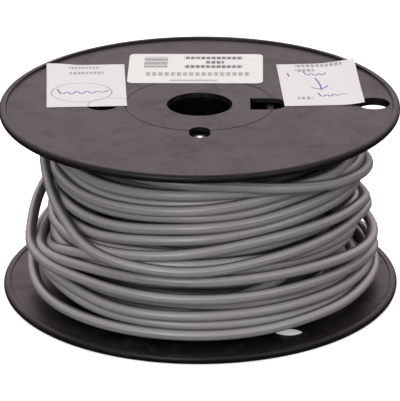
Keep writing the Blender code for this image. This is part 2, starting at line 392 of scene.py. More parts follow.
def insulation_finish(sizes):
    """Grey extruded insulation: soft sheen, drawn lines along it, faint ink dashes, and painted shade that
    turns the strands' flanks and the deeper turns near black.
    """
    finish = Finish("grey_insulation", Specular_IOR_Level=0.45)
    place = finish.node("ShaderNodeUVMap", {"uv_map": "UVMap"})
    around = finish.axis(place, 0)
    along = finish.axis(place, 1)
    point = finish.position()
    tone = finish.noise(point, 45.0, 2.0, 0.5)
    scuff = finish.noise(point, 420.0, 3.0, 0.6).above(0.66, 0.12)
    base = finish.mix(tone, lighter(sizes.colour, 0.86), lighter(sizes.colour, 1.14))
    warm = finish.noise(point, 28.0, 1.0)
    tinted = finish.mix(warm.above(0.5, 0.4) * 0.6, base, (0.255, 0.222, 0.226))
    scuffed = finish.mix(scuff * 0.2, tinted, (0.36, 0.35, 0.35))
    line = abs((around + along * 1.3).fraction() - 0.5).below(0.035, 0.02)
    dash = (along * 780.0).fraction().below(0.52, 0.1)
    group = (along * 21.0).fraction().below(0.5, 0.01)
    inked = finish.mix(line * dash * group * 0.9, scuffed, (0.045, 0.04, 0.045))
    # Painted shade: the colour darkens to near black on turns that lie close to the axis and on each
    # strand's flanks, in place of the shade between strands.
    depth = finish.from_axis()
    painted_depth_shade = (depth.below(0.0585, 0.005) * 0.7).either(depth.below(0.048, 0.012) * 0.96)
    hidden = painted_depth_shade.either(finish.flank() * 0.85)
    finish.drive("Base Color", finish.mix(hidden, inked, (0.014, 0.012, 0.013)))
    finish.drive("Roughness", tone * 0.12 + 0.3 + scuff * 0.1)
    drawn = (around * 26.0).fraction()
    finish.bump(tone * 0.5 + abs(drawn - 0.5) * 0.04, 0.0002)
    return finish.material


def conductor_finish():
    """Bright cut face of the conductor."""
    finish = Finish("cut_conductor", Metallic=1.0)
    point = finish.position()
    saw = finish.noise(finish.placed(turn=0.7, scale=(6.0, 1.0, 1.0)), 2600.0, 2.0)
    finish.drive("Base Color", finish.mix(saw, (0.80, 0.78, 0.76), (0.95, 0.93, 0.91)))
    finish.drive("Roughness", finish.noise(point, 1500.0) * 0.2 + 0.22)
    finish.bump(saw, 0.00005)
    return finish.material


def paper_finish(name, paper, ink, label, masks):
    """Label paper with its printed marks. Masks are made in the label's own millimetres."""
    finish = Finish(name, Specular_IOR_Level=0.35)
    point = finish.position()
    local = finish.placed((*label["centre"], 0.0), label["turn"], (MM, MM, MM))
    across = finish.axis(local, 0)
    up = finish.axis(local, 1)
    fibre = finish.noise(point, 900.0, 4.0, 0.6)
    stain = finish.noise(point, 70.0, 3.0, 0.5)
    sheet = finish.mix(stain * 0.5 + fibre * 0.3, lighter(paper, 0.93), lighter(paper, 1.05))
    printed = masks(across, up)
    worn = finish.noise(point, 2100.0, 2.0).above(0.36, 0.25)
    finish.drive("Base Color", finish.mix(printed * worn, sheet, ink))
    finish.drive("Roughness", fibre * 0.15 + 0.5)
    finish.bump(fibre * 0.3 + stain, 0.00006)
    return finish.material


def bar(across, up, left, right, level, height, edge=0.25):
    """Mask of a printed bar between two places at one level."""
    middle = (left + right) / 2.0
    half = (right - left) / 2.0
    return abs(across - middle).below(half, edge) * abs(up - level).below(height / 2.0, edge)


def dashes(across, up, left, right, level, height, pitch, share):
    """Mask of a row of short marks."""
    row = bar(across, up, left, right, level, height)
    return row * (across / pitch).fraction().below(share, 0.3)


def ring(across, up, centre, radii, width):
    """Mask of a thin oval outline."""
    x = (across - centre[0]) / radii[0]
    y = (up - centre[1]) / radii[1]
    distance = across.sum("SQRT", x * x + y * y)
    return abs(distance - 1.0).below(width, width)


def linked(name, data):
    """A new object in the scene."""
    item = bpy.data.objects.new(name, data)
    bpy.context.scene.collection.objects.link(item)
    return item


def add_piece(name, mesh, material, replaces=()):
    """Link a finished mesh as a piece that rides with the part."""
    piece = linked(name, mesh)
    mesh.materials.clear()
    mesh.materials.append(material)
    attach(piece, "root")
    if replaces:
        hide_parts(*replaces)
    return piece


def mesh_from(solid, name, sharp=35.0):
    """Turn a bmesh into a smooth-shaded mesh with its hard edges kept."""
    bmesh.ops.recalc_face_normals(solid, faces=solid.faces[:])
    mesh = bpy.data.meshes.new(name)
    solid.to_mesh(mesh)
    solid.free()
    mesh.shade_smooth()
    mesh.set_sharp_from_angle(angle=math.radians(sharp))
    return mesh


def evaluated_mesh(item, name):
    """The mesh of an object with its modifiers or bevel worked in."""
    bpy.context.view_layer.update()
    shaped = item.evaluated_get(bpy.context.evaluated_depsgraph_get())
    mesh = bpy.data.meshes.new_from_object(shaped)
    mesh.name = name
    return mesh


def welded(mesh, distance):
    """A mesh as a bmesh, its near points joined."""
    solid = bmesh.new()
    solid.from_mesh(mesh)
    bmesh.ops.remove_doubles(solid, verts=solid.verts[:], dist=distance)
    return solid


def swept(curve, name):
    """The tube round a curve, as a bmesh."""
    item = linked(curve.name, curve)
    mesh = evaluated_mesh(item, name)
    bpy.data.objects.remove(item, do_unlink=True)
    return welded(mesh, WELD)


def round_off(solid, parts, offset, segments, affect="EDGES"):
    """Round edges or corners."""
    bmesh.ops.bevel(
        solid, geom=parts, offset=offset, offset_type="OFFSET", segments=segments, profile=0.5,
        affect=affect, material=-1)


def thicken(solid, faces, height):
    """Raise flat faces into a closed solid."""
    lifted = bmesh.ops.extrude_face_region(solid, geom=faces, use_keep_orig=True)
    moved = [part for part in lifted["geom"] if isinstance(part, bmesh.types.BMVert)]
    bmesh.ops.translate(solid, verts=moved, vec=(0.0, 0.0, height))


# Small roundings of a flange, limits that pick out the edges of its side holes, and a collar's facets
RIM_TOP_ROUND = 0.00045
RIM_BACK_ROUND = 0.0004
WEB_FILLET = 0.0003
BORE_ROUND = 0.0002
MERGE_DISTANCE = 0.00003
BORE_MARGIN = 0.001
RIM_MARGIN = 0.0006
LIP_ANGLE = math.radians(60.0)
COLLAR_SEGMENTS = 48


def flange_section(sizes):
    """Corners of a flange's section, its inner side at z = 0, as (radius, height)."""
    bore = sizes.bore / 2.0
    rim = FLANGE_RADIUS - sizes.rim_width
    outer = RIM_HEIGHT - sizes.recess
    inner = outer - sizes.web_thickness
    groove = sizes.witness_radius
    depth = sizes.witness_depth
    return [
        (bore, inner),
        (bore, outer),
        (groove - depth, outer),
        (groove, outer - depth),
        (groove + depth, outer),
        (rim, outer),
        (rim, RIM_HEIGHT),
        (FLANGE_RADIUS, RIM_HEIGHT),
        (FLANGE_RADIUS, 0.0),
        (rim, 0.0),
        (rim, inner),
    ]


def circle_edges(solid, radius, height):
    """Edges that lie on a circle round the axis at one height."""
    close = 1e-5

    def lies_on(corner):
        return abs(corner.co.z - height) < close and abs(corner.co.xy.length - radius) < close

    return [edge for edge in solid.edges if all(lies_on(corner) for corner in edge.verts)]


def flange_body(sizes):
    """A flange without its holes, its edges rounded."""
    solid = bmesh.new()
    corners = [solid.verts.new((radius, 0.0, height)) for radius, height in flange_section(sizes)]
    edges = [solid.edges.new((corners[i - 1], corners[i])) for i in range(len(corners))]
    bmesh.ops.spin(
        solid, geom=corners + edges, cent=(0.0, 0.0, 0.0), axis=(0.0, 0.0, 1.0), angle=math.tau,
        steps=sizes.segments, use_merge=True)
    rim = FLANGE_RADIUS - sizes.rim_width
    outer = RIM_HEIGHT - sizes.recess
    roundings = (
        (circle_edges(solid, FLANGE_RADIUS, RIM_HEIGHT), sizes.rim_round, 6),
        (circle_edges(solid, FLANGE_RADIUS, 0.0), sizes.rim_round, 6),
        (circle_edges(solid, rim, RIM_HEIGHT), RIM_TOP_ROUND, 3),
        (circle_edges(solid, rim, 0.0), RIM_BACK_ROUND, 3),
        (circle_edges(solid, rim, outer), WEB_FILLET, 3),
        (circle_edges(solid, sizes.bore / 2.0, outer), BORE_ROUND, 2),
    )
    for found, offset, segments in roundings:
        round_off(solid, found, offset, segments)
    return mesh_from(solid, "flange")


def hole_shape(length, width, centre, square_end=False):
    """Outline of a long round-ended hole along X."""
    half = width / 2.0
    reach = max(length / 2.0 - half, 0.0)
    steps = 20
    outline = [
        (reach + half * math.cos(angle), half * math.sin(angle))
        for angle in (math.pi * (step / steps - 0.5) for step in range(steps + 1))]
    if square_end:
        outline += [(-length / 2.0, half), (-length / 2.0, -half)]
    else:
        outline += [(-x, -y) for x, y in outline]
    return [(centre[0] + x, centre[1] + y) for x, y in outline]


def hole_outlines(sizes, outer_hole_position):
    """Outlines of a flange's four side holes."""
    slot_middle = sizes.slot_start + sizes.slot_length / 2.0
    start = BARREL_RADIUS + sizes.start_offset
    lying = hole_shape(sizes.start_length, sizes.start_width, (0.0, 0.0))
    upright = [(y, -start + x) for x, y in lying]
    return [
        hole_shape(sizes.hole, sizes.hole, (outer_hole_position, 0.0)),
        hole_shape(sizes.hole, sizes.hole, (-sizes.inner_hole_position, 0.0)),
        hole_shape(sizes.slot_length, sizes.slot_width, (slot_middle, 0.0), square_end=True),
        upright,
    ]


def hole_prisms(outlines):
    """Cutters for the side holes."""
    margin = 0.002
    solid = bmesh.new()
    for outline in outlines:
        corners = [solid.verts.new((x, y, -margin)) for x, y in outline]
        bmesh.ops.remove_doubles(solid, verts=corners, dist=WELD)
        corners = [corner for corner in corners if corner.is_valid]
        thicken(solid, [solid.faces.new(corners)], RIM_HEIGHT + 2.0 * margin)
    return mesh_from(solid, "side_holes")


def break_hole_edges(mesh, sizes):
    """Round the edges of the side holes a little."""
    solid = welded(mesh, MERGE_DISTANCE)
    low = sizes.bore / 2.0 + BORE_MARGIN
    high = FLANGE_RADIUS - sizes.rim_width - RIM_MARGIN
    lips = []
    for edge in solid.edges:
        reach = [corner.co.xy.length for corner in edge.verts]
        if len(edge.link_faces) == 2 and min(reach) > low and max(reach) < high:
            if edge.calc_face_angle() > LIP_ANGLE:
                lips.append(edge)
    round_off(solid, lips, sizes.edge_break, 2)
    return mesh_from(solid, mesh.name)


def hole_collar(sizes, outer_hole_position):
    """The collar round the outer threading hole, on the winding's side of the flange."""
    top = RIM_HEIGHT - sizes.recess - sizes.web_thickness / 2.0
    radius = sizes.hole / 2.0 + sizes.collar_wall
    height = top + sizes.collar_height
    solid = bmesh.new()
    bmesh.ops.create_cone(
        solid, cap_ends=True, segments=COLLAR_SEGMENTS, radius1=radius, radius2=radius, depth=height)
    middle = Vector((outer_hole_position, 0.0, top - height / 2.0))
    bmesh.ops.translate(solid, verts=solid.verts[:], vec=middle)
    return mesh_from(solid, "hole_collar")


def make_flange(name, sizes, outer_hole_position, place, material):
    """One flange with its holes, put where its solid is."""
    host = linked(name + "_body", flange_body(sizes))
    collar = linked(name + "_collar", hole_collar(sizes, outer_hole_position))
    cutter = linked(name + "_holes", hole_prisms(hole_outlines(sizes, outer_hole_position)))
    for operation, tool in (("UNION", collar), ("DIFFERENCE", cutter)):
        cut = host.modifiers.new(operation.lower(), "BOOLEAN")
        cut.operation = operation
        cut.solver = "EXACT"
        cut.object = tool
    broken = linked(name + "_broken", break_hole_edges(evaluated_mesh(host, name), sizes))
    flat = broken.modifiers.new("flat_faces", "WEIGHTED_NORMAL")
    flat.mode = "FACE_AREA"
    flat.keep_sharp = True
    mesh = evaluated_mesh(broken, name)
    mesh.transform(place)
    for item in (host, collar, cutter, broken):
        bpy.data.objects.remove(item, do_unlink=True)
    return add_piece(name + "_moulding", mesh, material, [name])


def hermite(places, levels, at):
    """Smooth curve through (place, level) pairs, read at many places."""
    places = np.asarray(places, float)
    levels = np.asarray(levels, float)
    slopes = np.gradient(levels, places)
    left = np.clip(np.searchsorted(places, at) - 1, 0, len(places) - 2)
    span = places[left + 1] - places[left]
    share = (at - places[left]) / span
    rise = levels[left + 1] - levels[left]
    ease = share * share * (3.0 - 2.0 * share)
    entry = share * (1.0 - share) ** 2 * span * slopes[left]
    leave = share * share * (share - 1.0) * span * slopes[left + 1]
    return levels[left] + rise * ease + entry + leave


def blurred(values, reach, passes):
    """Running mean that keeps the ends."""
    kernel = np.ones(2 * reach + 1) / (2 * reach + 1)
    for _ in range(passes):
        values = np.convolve(np.pad(values, reach, mode="edge"), kernel, "valid")
    return values


# The outer turns, in the order in which they were wound. Each gives the least distance of the strand's
# centre from the spool's axis at the left side, in front and at the right side, in millimetres, and then
# its route as (azimuth in degrees, height in millimetres): azimuth 0 is the front, +90 the right side.
# Most of these places were worked out by other programs from points that were read in the photograph,
# then thinned and adjusted.
OUTER_TURNS = (
    ((57, 62.5, 62), ((-100, 69.5), (-48, 59), (0, 61.5), (45, 63.5), (95, 61))),
    ((57, 64, 62), (
        (-100, 54), (-65, 53.5), (-45, 53), (0, 56), (20, 56.5), (36, 59.5), (53, 58.5), (100, 54))),
    ((59, 61, 63), ((-100, 33), (-68, 34), (-46, 37), (-10, 40), (50, 41.5), (90, 41))),
    ((60, 64, 62.5), ((-95, 28), (-50, 29), (0, 31), (30, 32), (62, 29), (95, 27))),
    ((60, 60.5, 63), (
        (-100, 22.5), (-75, 24.5), (-52, 32), (-38, 34.5), (42, 35), (65, 33), (80, 31.5), (100, 33))),
    ((60, 64, 64), ((-90, 17.5), (-60, 18), (0, 18.5), (30, 16.5), (60, 14), (95, 14))),
    ((65.5, 66.5, 66.5), (
        (-95, 13), (-61, 14), (-45, 11.5), (-25, 10.5), (20, 10.5), (45, 9.5), (70, 9), (95, 11))),
    ((66.5, 67.5, 67), ((-95, 18), (-55, 17.5), (-36, 15), (0, 14.8), (46, 15), (68, 13), (95, 13))),
    ((59.5, 65.5, 64), (
        (-95, 45), (-75, 43), (-44, 41.5), (-17, 45.5), (0, 47), (27, 50), (55, 51), (78, 49.5), (92, 46),
        (105, 45.5))),
    ((59.5, 65.5, 64.5), (
        (-95, 49.5), (-75, 49), (-35, 48), (0, 52.5), (28, 54.5), (50, 56.5), (75, 54.5), (95, 50))),
    ((59.5, 65.5, 65.5), ((-100, 63), (-70, 59), (-45, 57.5), (9, 61), (32, 64), (100, 59))),
    ((60, 66, 65), ((-100, 72), (-80, 70), (-52, 65.5), (18, 67), (95, 66))),
    ((60, 66.5, 67.5), (
        (-95, 38), (-45, 38), (0, 42.5), (18, 45), (37, 46), (62, 44.5), (75, 43), (88, 40), (105, 39))),
    ((62, 68, 69), (
        (-100, 74.5), (-30, 74), (-8, 71.5), (8, 71), (26, 69), (44, 65), (66, 60), (86, 56.5), (105, 54))),
    ((64, 66.2, 64), (
        (-115, 70), (-100, 65), (-86, 59.5), (-75, 54.5), (-66, 50), (-59, 46), (-47, 42.5), (-34, 38),
        (-20, 36), (0, 35.3), (14, 36.7), (27, 38.5), (53, 38.3), (71, 36.7), (90, 36))),
    ((64, 68.5, 72.8), (
        (-95, 26), (-60, 27), (-43, 28.5), (0, 30), (36, 30.5), (54, 29), (69, 26.5), (87, 24.5),
        (104, 25))),
    ((69.3, 69.5, 69.5), (
        (-125, 41), (-105, 38.5), (-94, 36), (-87, 30), (-79, 26.5), (-62, 25.5), (-43, 24), (0, 22.7),
        (44, 22.7), (65, 20.5), (81, 17), (95, 16))),
    ((70.2, 70.3, 68.7), (
        (-115, 24), (-97, 19), (-88, 12), (-80, 9), (-66, 7.7), (-45, 7.5), (0, 7.6), (22, 7.7), (34, 9),
        (50, 8.7), (70, 8.7), (87, 10.5), (108, 11))),
)
END_RUN_DEGREES = 40.0
AFTER_END_DEGREES = 60.0
AFTER_END_RISE = 3.0
SIDE_AZIMUTH = 90.0
BACK_AZIMUTH = 140.0
BULGE_FALL = 6.0
MEAN_RADIUS = 58.0
FLANGE_CLEARANCE = 0.1
BARREL_CLEARANCE = 0.3
BACK_TRIES = 6
BACK_TRY_STEP = 3.5
BACK_TRY_COST = 0.05
DENSE_HIDDEN_TURNS = 8
SKIPPED_POINTS = 6
START_STRAIGHT = 0.0015
START_STEPS = 8
FULL_RADIUS = 70.0
LIMIT_RADIUS = 73.5


class Winding:
    """Lays the wire turn by turn: heights first, then radii from what lies below. Works in millimetres."""

    def __init__(self, sizes):
        self.sizes = sizes
        self.wire = sizes.diameter / MM
        self.steps = sizes.turn_steps
        self.step = 360.0 / self.steps
        inside = (RIM_HEIGHT + bpy.context.scene.spool_sizes.collar_height) / MM
        margin = inside + self.wire / 2.0 + FLANGE_CLEARANCE
        self.low = margin
        self.high = SPOOL_HEIGHT / MM - margin
        self.first_radius = BARREL_RADIUS / MM + self.wire / 2.0 + BARREL_CLEARANCE
        self.inner = self.inner_heights()
        self.least = self.plan()
        self.heights = self.course(self.levels)
        self.angles = np.radians(np.arange(len(self.heights)) * self.step)
        self.radii = self.settle()

    def inner_heights(self):
        """Heights of the hidden turns: a traverse to and fro with some wander."""
        count = self.sizes.first_turns * self.steps
        turns = np.arange(count) / self.steps
        sweep = np.abs((turns / self.sizes.layer_turns) % 2.0 - 1.0)
        draw = random.Random(self.sizes.seed)
        knots = np.arange(3 * self.sizes.first_turns + 4) / 3.0
        stray = np.array([draw.uniform(-1.0, 1.0) for _ in knots]) * self.sizes.wander / MM
        return self.low + (self.high - self.low) * sweep + hermite(knots, stray, turns)

    def plan(self):
        """Stations of the outer turns, how far out each point lies at least, and first heights."""
        base = (self.sizes.first_turns + 1) * 360.0
        self.places = [(len(self.inner) - 1) * self.step]
        self.levels = [self.inner[-1]]
        self.backs = []
        for index, (_, stations) in enumerate(OUTER_TURNS):
            first = base + 360.0 * index + stations[0][0]
            self.backs.append(len(self.places))
            self.places.append((self.places[-1] + first) / 2.0)
            self.levels.append((self.levels[-1] + stations[0][1]) / 2.0)
            self.places += [base + 360.0 * index + azimuth for azimuth, _ in stations]
            self.levels += [height for _, height in stations]
        self.count = int((self.places[-1] + END_RUN_DEGREES) / self.step)
        self.places.append(self.places[-1] + AFTER_END_DEGREES)
        self.levels.append(self.levels[-1] + AFTER_END_RISE)
        at = np.arange(self.count) * self.step
        least = np.full(self.count, self.first_radius)
        for index, (reach, _) in enumerate(OUTER_TURNS):
            azimuth = at - base - 360.0 * index
            behind = (reach[0] - BULGE_FALL, reach[2] - BULGE_FALL)
            corners = (-BACK_AZIMUTH, -SIDE_AZIMUTH, 0.0, SIDE_AZIMUTH, BACK_AZIMUTH)
            wanted = np.interp(azimuth, corners, (behind[0], *reach, behind[1]))
            least = np.where(np.abs(azimuth) < BACK_AZIMUTH, np.maximum(least, wanted), least)
        return least

    def course(self, levels):
        """Heights of every point for a list of station heights."""
        at = np.arange(len(self.inner), self.count) * self.step
        heights = np.concatenate([self.inner, hermite(self.places, levels, at)])
        return np.clip(blurred(heights, 2, 2), self.low, self.high)

    def rest_on(self, here, heights, radii):
        """Least radius of the points with these numbers, on top of every earlier turn."""
        rest = self.least[here]
        slope = np.abs(np.gradient(heights)) / (math.radians(self.step) * MEAN_RADIUS)
        lean = 1.0 / np.sqrt(1.0 + slope * slope)
        for turn in range(1, here[-1] // self.steps + 2):
            below = here - turn * self.steps
            real = below >= 0
            below = np.where(real, below, 0)
            gap = np.abs(heights[here] - heights[below]) * np.minimum(lean[here], lean[below])
            lift = radii[below] + np.sqrt(np.maximum(self.wire ** 2 - gap ** 2, 0.0))
            rest = np.maximum(rest, np.where(real & (gap < self.wire), lift, 0.0))
        return rest

    def settle(self):
        """Radius of every point. At the back each outer turn takes the way where the pile is lowest."""
        radii = np.zeros(self.count)
        rests = np.zeros(self.count)
        done = self.lay(0, len(self.inner), rests, radii)
        for back in self.backs:
            first = int(self.places[back - 1] / self.step)
            last = int(self.places[back + 1] / self.step)
            behind = np.arange(first, last + 1)
            ends = (self.levels[back - 1], self.levels[back + 1])
            best = None
            for share in range(-BACK_TRIES, BACK_TRIES + 1):
                level = min(max(sum(ends) / 2.0 + share * BACK_TRY_STEP, self.low), self.high)
                levels = list(self.levels)
                levels[back] = level
                heights = self.course(levels)
                pile = np.sort(self.rest_on(behind, heights, radii))
                cost = pile[-len(pile) // 3:].mean() + BACK_TRY_COST * abs(share)
                if best is None or cost < best[0]:
                    best = (cost, levels, heights)
            _, self.levels, self.heights = best
            stations = [index for index in self.backs if index > back]
            until = int(self.places[stations[0] - 1] / self.step) if stations else self.count
            done = self.lay(done, until, rests, radii)
        return self.drawn_in(blurred(radii, 1, 2))

    def drawn_in(self, radii):
        """The outermost turns press the pile together, so no turn stands out past the limit."""
        over = np.maximum(radii - FULL_RADIUS, 0.0)
        room = LIMIT_RADIUS - FULL_RADIUS
        return np.where(over > 0.0, FULL_RADIUS + room * np.tanh(over / room), radii)

    def lay(self, start, stop, rests, radii):
        """Lay the points from start to stop on what lies below them."""
        block = self.steps // 3
        for first in range(start, stop, block):
            here = np.arange(first, min(first + block, stop))
            rests[here] = self.rest_on(here, self.heights, radii)
            self.pull_straight(rests, radii, max(0, first - self.steps // 2), here[-1])
        return stop

    def pull_straight(self, rests, radii, first, last):
        """Let the wire run straight from one rest to the next, as a taut line round the coil does."""
        away = rests[first:last + 1].copy()
        if first > 0:
            away[0] = radii[first]
        angles = self.angles[first:last + 1]
        x = away * np.cos(angles)
        y = away * np.sin(angles)
        kept = [0]
        for index in range(1, len(away)):
            while len(kept) > 1:
                a, b = kept[-2], kept[-1]
                turn = (x[b] - x[a]) * (y[index] - y[b]) - (y[b] - y[a]) * (x[index] - x[b])
                if turn > 0.0:
                    break
                kept.pop()
            kept.append(index)
        for a, b in zip(kept, kept[1:]):
            between = np.arange(a, b + 1)
            spread = math.sin(angles[b] - angles[a])
            before = np.sin(angles[b] - angles[between]) / away[a]
            after = np.sin(angles[between] - angles[a]) / away[b]
            radii[first + between] = spread / (before + after)

    def points(self):
        """Points along the wire in metres: the first end, the sparse hidden turns, the dense outer ones."""
        fine_from = (self.sizes.first_turns - DENSE_HIDDEN_TURNS) * self.steps
        kept = [index for index in range(len(self.radii)) if index >= fine_from or index % 2 == 0]
        kept = [index for index in kept if index >= SKIPPED_POINTS]
        run = [
            Vector((
                self.radii[i] * math.sin(self.angles[i]),
                -self.radii[i] * math.cos(self.angles[i]),
                self.heights[i])) * MM
            for i in kept]
        return self.first_end(run[0]) + run

    def first_end(self, joins):
        """The wire's first end: down through the start hole, then round into the first turn."""
        radius = joins.xy.length
        top = SPOOL_HEIGHT - bpy.context.scene.spool_sizes.recess - self.sizes.start_depth
        angle = math.atan2(joins.x, -joins.y)
        bend_top = top - START_STRAIGHT
        points = [Vector((0.0, -radius, top)), Vector((0.0, -radius, bend_top))]
        drop = bend_top - joins.z
        for step in range(1, START_STEPS):
            share = step / START_STEPS * math.pi / 2.0
            turn = angle * (1.0 - math.cos(share))
            level = bend_top - drop * math.sin(share)
            points.append(Vector((radius * math.sin(turn), -radius * math.cos(turn), level)))
        return points


def wire_mesh(points, sizes):
    """A round tube along the points, with closed ends."""
    curve = bpy.data.curves.new("wire_path", "CURVE")
    curve.dimensions = "3D"
    curve.bevel_depth = sizes.diameter / 2.0
    curve.bevel_resolution = (sizes.sides - 4) // 2
    curve.use_fill_caps = True
    spline = curve.splines.new("POLY")
    spline.points.add(len(points) - 1)
    for knot, point in zip(spline.points, points):
        knot.co = (*point, 1.0)
    return mesh_from(swept(curve, "wound_wire"), "wound_wire", sharp=50.0)


CONDUCTOR_HEIGHT = 0.0008
CONDUCTOR_SUNK = 0.0006
CONDUCTOR_ROUND = 0.00015
CONDUCTOR_SEGMENTS = 28


def conductor_mesh(points, sizes):
    """The conductor's cut face in the wire's first end."""
    solid = bmesh.new()
    bmesh.ops.create_circle(
        solid, cap_ends=True, segments=CONDUCTOR_SEGMENTS, radius=sizes.conductor / 2.0)
    thicken(solid, solid.faces[:], CONDUCTOR_HEIGHT)
    half = CONDUCTOR_HEIGHT / 2.0
    rim = [edge for edge in solid.edges if all(corner.co.z > half for corner in edge.verts)]
    round_off(solid, rim, CONDUCTOR_ROUND, 2)
    place = points[0] - Vector((0.0, 0.0, CONDUCTOR_SUNK))
    bmesh.ops.translate(solid, verts=solid.verts[:], vec=place)
    return mesh_from(solid, "conductor_end")


def labels_plan(sizes):
    """Place, turn and size of the three labels."""
    side = (sizes.side_width, sizes.side_length)
    return {
        "left": {"centre": (-0.0474, 0.0223), "turn": math.radians(2.45), "size": side},
        "centre": {
            "centre": (-0.0016, 0.0425), "turn": math.radians(-1.1),
            "size": (sizes.centre_width, sizes.centre_length)},
        "right": {"centre": (0.0503, 0.0226), "turn": math.radians(2.65), "size": side},
    }


LABEL_CELL = 0.002
RISE_START = 0.0115
RISE_LENGTH = 0.0105
FREE_FROM = 0.35
PEN_RADIUS = 0.00036
PEN_FLATNESS = 0.06


def label_place(plan):
    """Where a label's middle lies and how it is turned."""
    return Matrix.Translation((*plan["centre"], 0.0)) @ Matrix.Rotation(plan["turn"], 4, "Z")


def paper_seat(x, y, local, curl, sizes):
    """Height of a label's underside at a place on the upper flange."""
    spool = bpy.context.scene.spool_sizes
    web = SPOOL_HEIGHT - spool.recess
    rim = FLANGE_RADIUS - spool.rim_width
    share = min(max((math.hypot(x, y) - rim + RISE_START) / RISE_LENGTH, 0.0), 1.0)
    rise = spool.recess * share * share * (3.0 - 2.0 * share)
    free = min(max((local[0] - FREE_FROM) / (1.0 - FREE_FROM), 0.0), 1.0)
    return web + sizes.clearance + rise + curl * free * free


def label_mesh(name, plan, sizes, corner=0.0, curl=0.0):
    """A thin sheet of paper that follows the flange."""
    width, length = plan["size"]
    solid = bmesh.new()
    bmesh.ops.create_grid(solid, x_segments=1, y_segments=1, size=0.5)
    bmesh.ops.scale(solid, verts=solid.verts[:], vec=(width, length, 1.0))
    if corner > 0.0:
        round_off(solid, solid.verts[:], corner, 8, "VERTICES")
    for axis, size in ((Vector((1.0, 0.0, 0.0)), width), (Vector((0.0, 1.0, 0.0)), length)):
        cuts = round(size / LABEL_CELL)
        for cut in range(1, cuts):
            middle = axis * (size * (cut / cuts - 0.5))
            parts = solid.verts[:] + solid.edges[:] + solid.faces[:]
            bmesh.ops.bisect_plane(solid, geom=parts, plane_co=middle, plane_no=axis)
    place = label_place(plan)
    for corner_point in solid.verts:
        local = (corner_point.co.x / (width / 2.0), corner_point.co.y / (length / 2.0))
        corner_point.co = place @ corner_point.co
        corner_point.co.z = paper_seat(corner_point.co.x, corner_point.co.y, local, curl, sizes)
    thicken(solid, solid.faces[:], sizes.thickness)
    return mesh_from(solid, name, sharp=50.0)


# Pen strokes in millimetres from each label's middle: across, then up
LEFT_PEN = (
    ((-12.0, -4.0), (-10.4, -13.4), (-8.2, -4.2), (-6.2, -13.0), (-4.0, -4.6), (-2.0, -12.6), (0.2, -4.8),
     (2.2, -12.0), (4.4, -5.0), (6.4, -10.6), (9.4, -6.0)),
)
RIGHT_PEN = (
    ((-12.6, 14.0), (-12.2, 9.8)),
    ((-5.8, 15.4), (-4.4, 8.6), (-2.6, 15.6), (-1.2, 8.4), (0.8, 15.2), (1.6, 9.0), (3.6, 13.6)),
    ((-1.5, 7.4), (0.4, 0.5), (0.2, -7.4)),
    ((-3.8, -3.6), (0.2, -8.4), (3.2, -1.8)),
    ((-1.6, -10.6), (-0.2, -17.4), (1.6, -10.4), (3.2, -16.8), (4.8, -10.6), (6.4, -16.2), (8.0, -11.0),
     (10.2, -13.4)),
)


def pen_mesh(name, strokes, plan, sizes, curl):
    """Ink strokes that lie on a label."""
    width, length = plan["size"]
    curve = bpy.data.curves.new(name, "CURVE")
    curve.dimensions = "3D"
    curve.bevel_depth = PEN_RADIUS
    curve.bevel_resolution = 1
    curve.use_fill_caps = True
    curve.resolution_u = 6
    for stroke in strokes:
        spline = curve.splines.new("NURBS")
        spline.points.add(len(stroke) - 1)
        spline.order_u = min(4, len(stroke))
        spline.use_endpoint_u = True
        for knot, (x, y) in zip(spline.points, stroke):
            knot.co = (x * MM, y * MM, 0.0, 1.0)
    solid = swept(curve, name)
    place = label_place(plan)
    for point in solid.verts:
        local = (point.co.x / (width / 2.0), point.co.y / (length / 2.0))
        thin = point.co.z * PEN_FLATNESS
        point.co = place @ Vector((point.co.x, point.co.y, 0.0))
        seat = paper_seat(point.co.x, point.co.y, local, curl, sizes)
        point.co.z = seat + sizes.thickness + thin
    return mesh_from(solid, name)


def left_marks(across, up):
    """Two rows of small marks and two ovals."""
    rows = dashes(across, up, -7.0, 6.0, 21.5, 2.6, 1.5, 0.7)
    rows = rows.either(dashes(across, up, -7.0, 7.5, 15.0, 3.0, 1.7, 0.7))
    frame_ring = ring(across, up, (-2.0, -8.5), (12.6, 11.3), 0.022) * 0.65
    second = ring(across, up, (10.5, -23.0), (10.0, 7.5), 0.03) * 0.5
    return (rows * 0.62).either(frame_ring).either(second)


def centre_marks(across, up):
    """A striped block and rows of dashes."""
    block = bar(across, up, -22.0, -12.0, 7.6, 13.6)
    rows = block * ((up / 4.6).fraction().below(0.72, 0.1) * 0.5 + 0.2)
    for left, right, level in ((-5.0, 20.0, 13.0), (4.0, 12.0, 7.6), (-5.0, 20.0, 2.2)):
        rows = rows.either(dashes(across, up, left, right, level, 3.4, 2.2, 0.8))
    rows = rows.either(dashes(across, up, -21.5, 23.5, -7.0, 4.6, 2.6, 0.7) * 0.62)
    return rows.either(dashes(across, up, -10.5, 9.5, -14.8, 2.0, 1.2, 0.74) * 0.7)


def right_marks(across, up):
    """Rows of small marks."""
    rows = dashes(across, up, -9.0, 11.0, 22.6, 3.2, 2.0, 0.72)
    rows = rows.either(dashes(across, up, -9.0, -1.0, 17.0, 3.0, 2.0, 0.72))
    rows = rows.either(dashes(across, up, -10.5, -4.0, -16.4, 3.2, 2.2, 0.62))
    return rows * 0.7


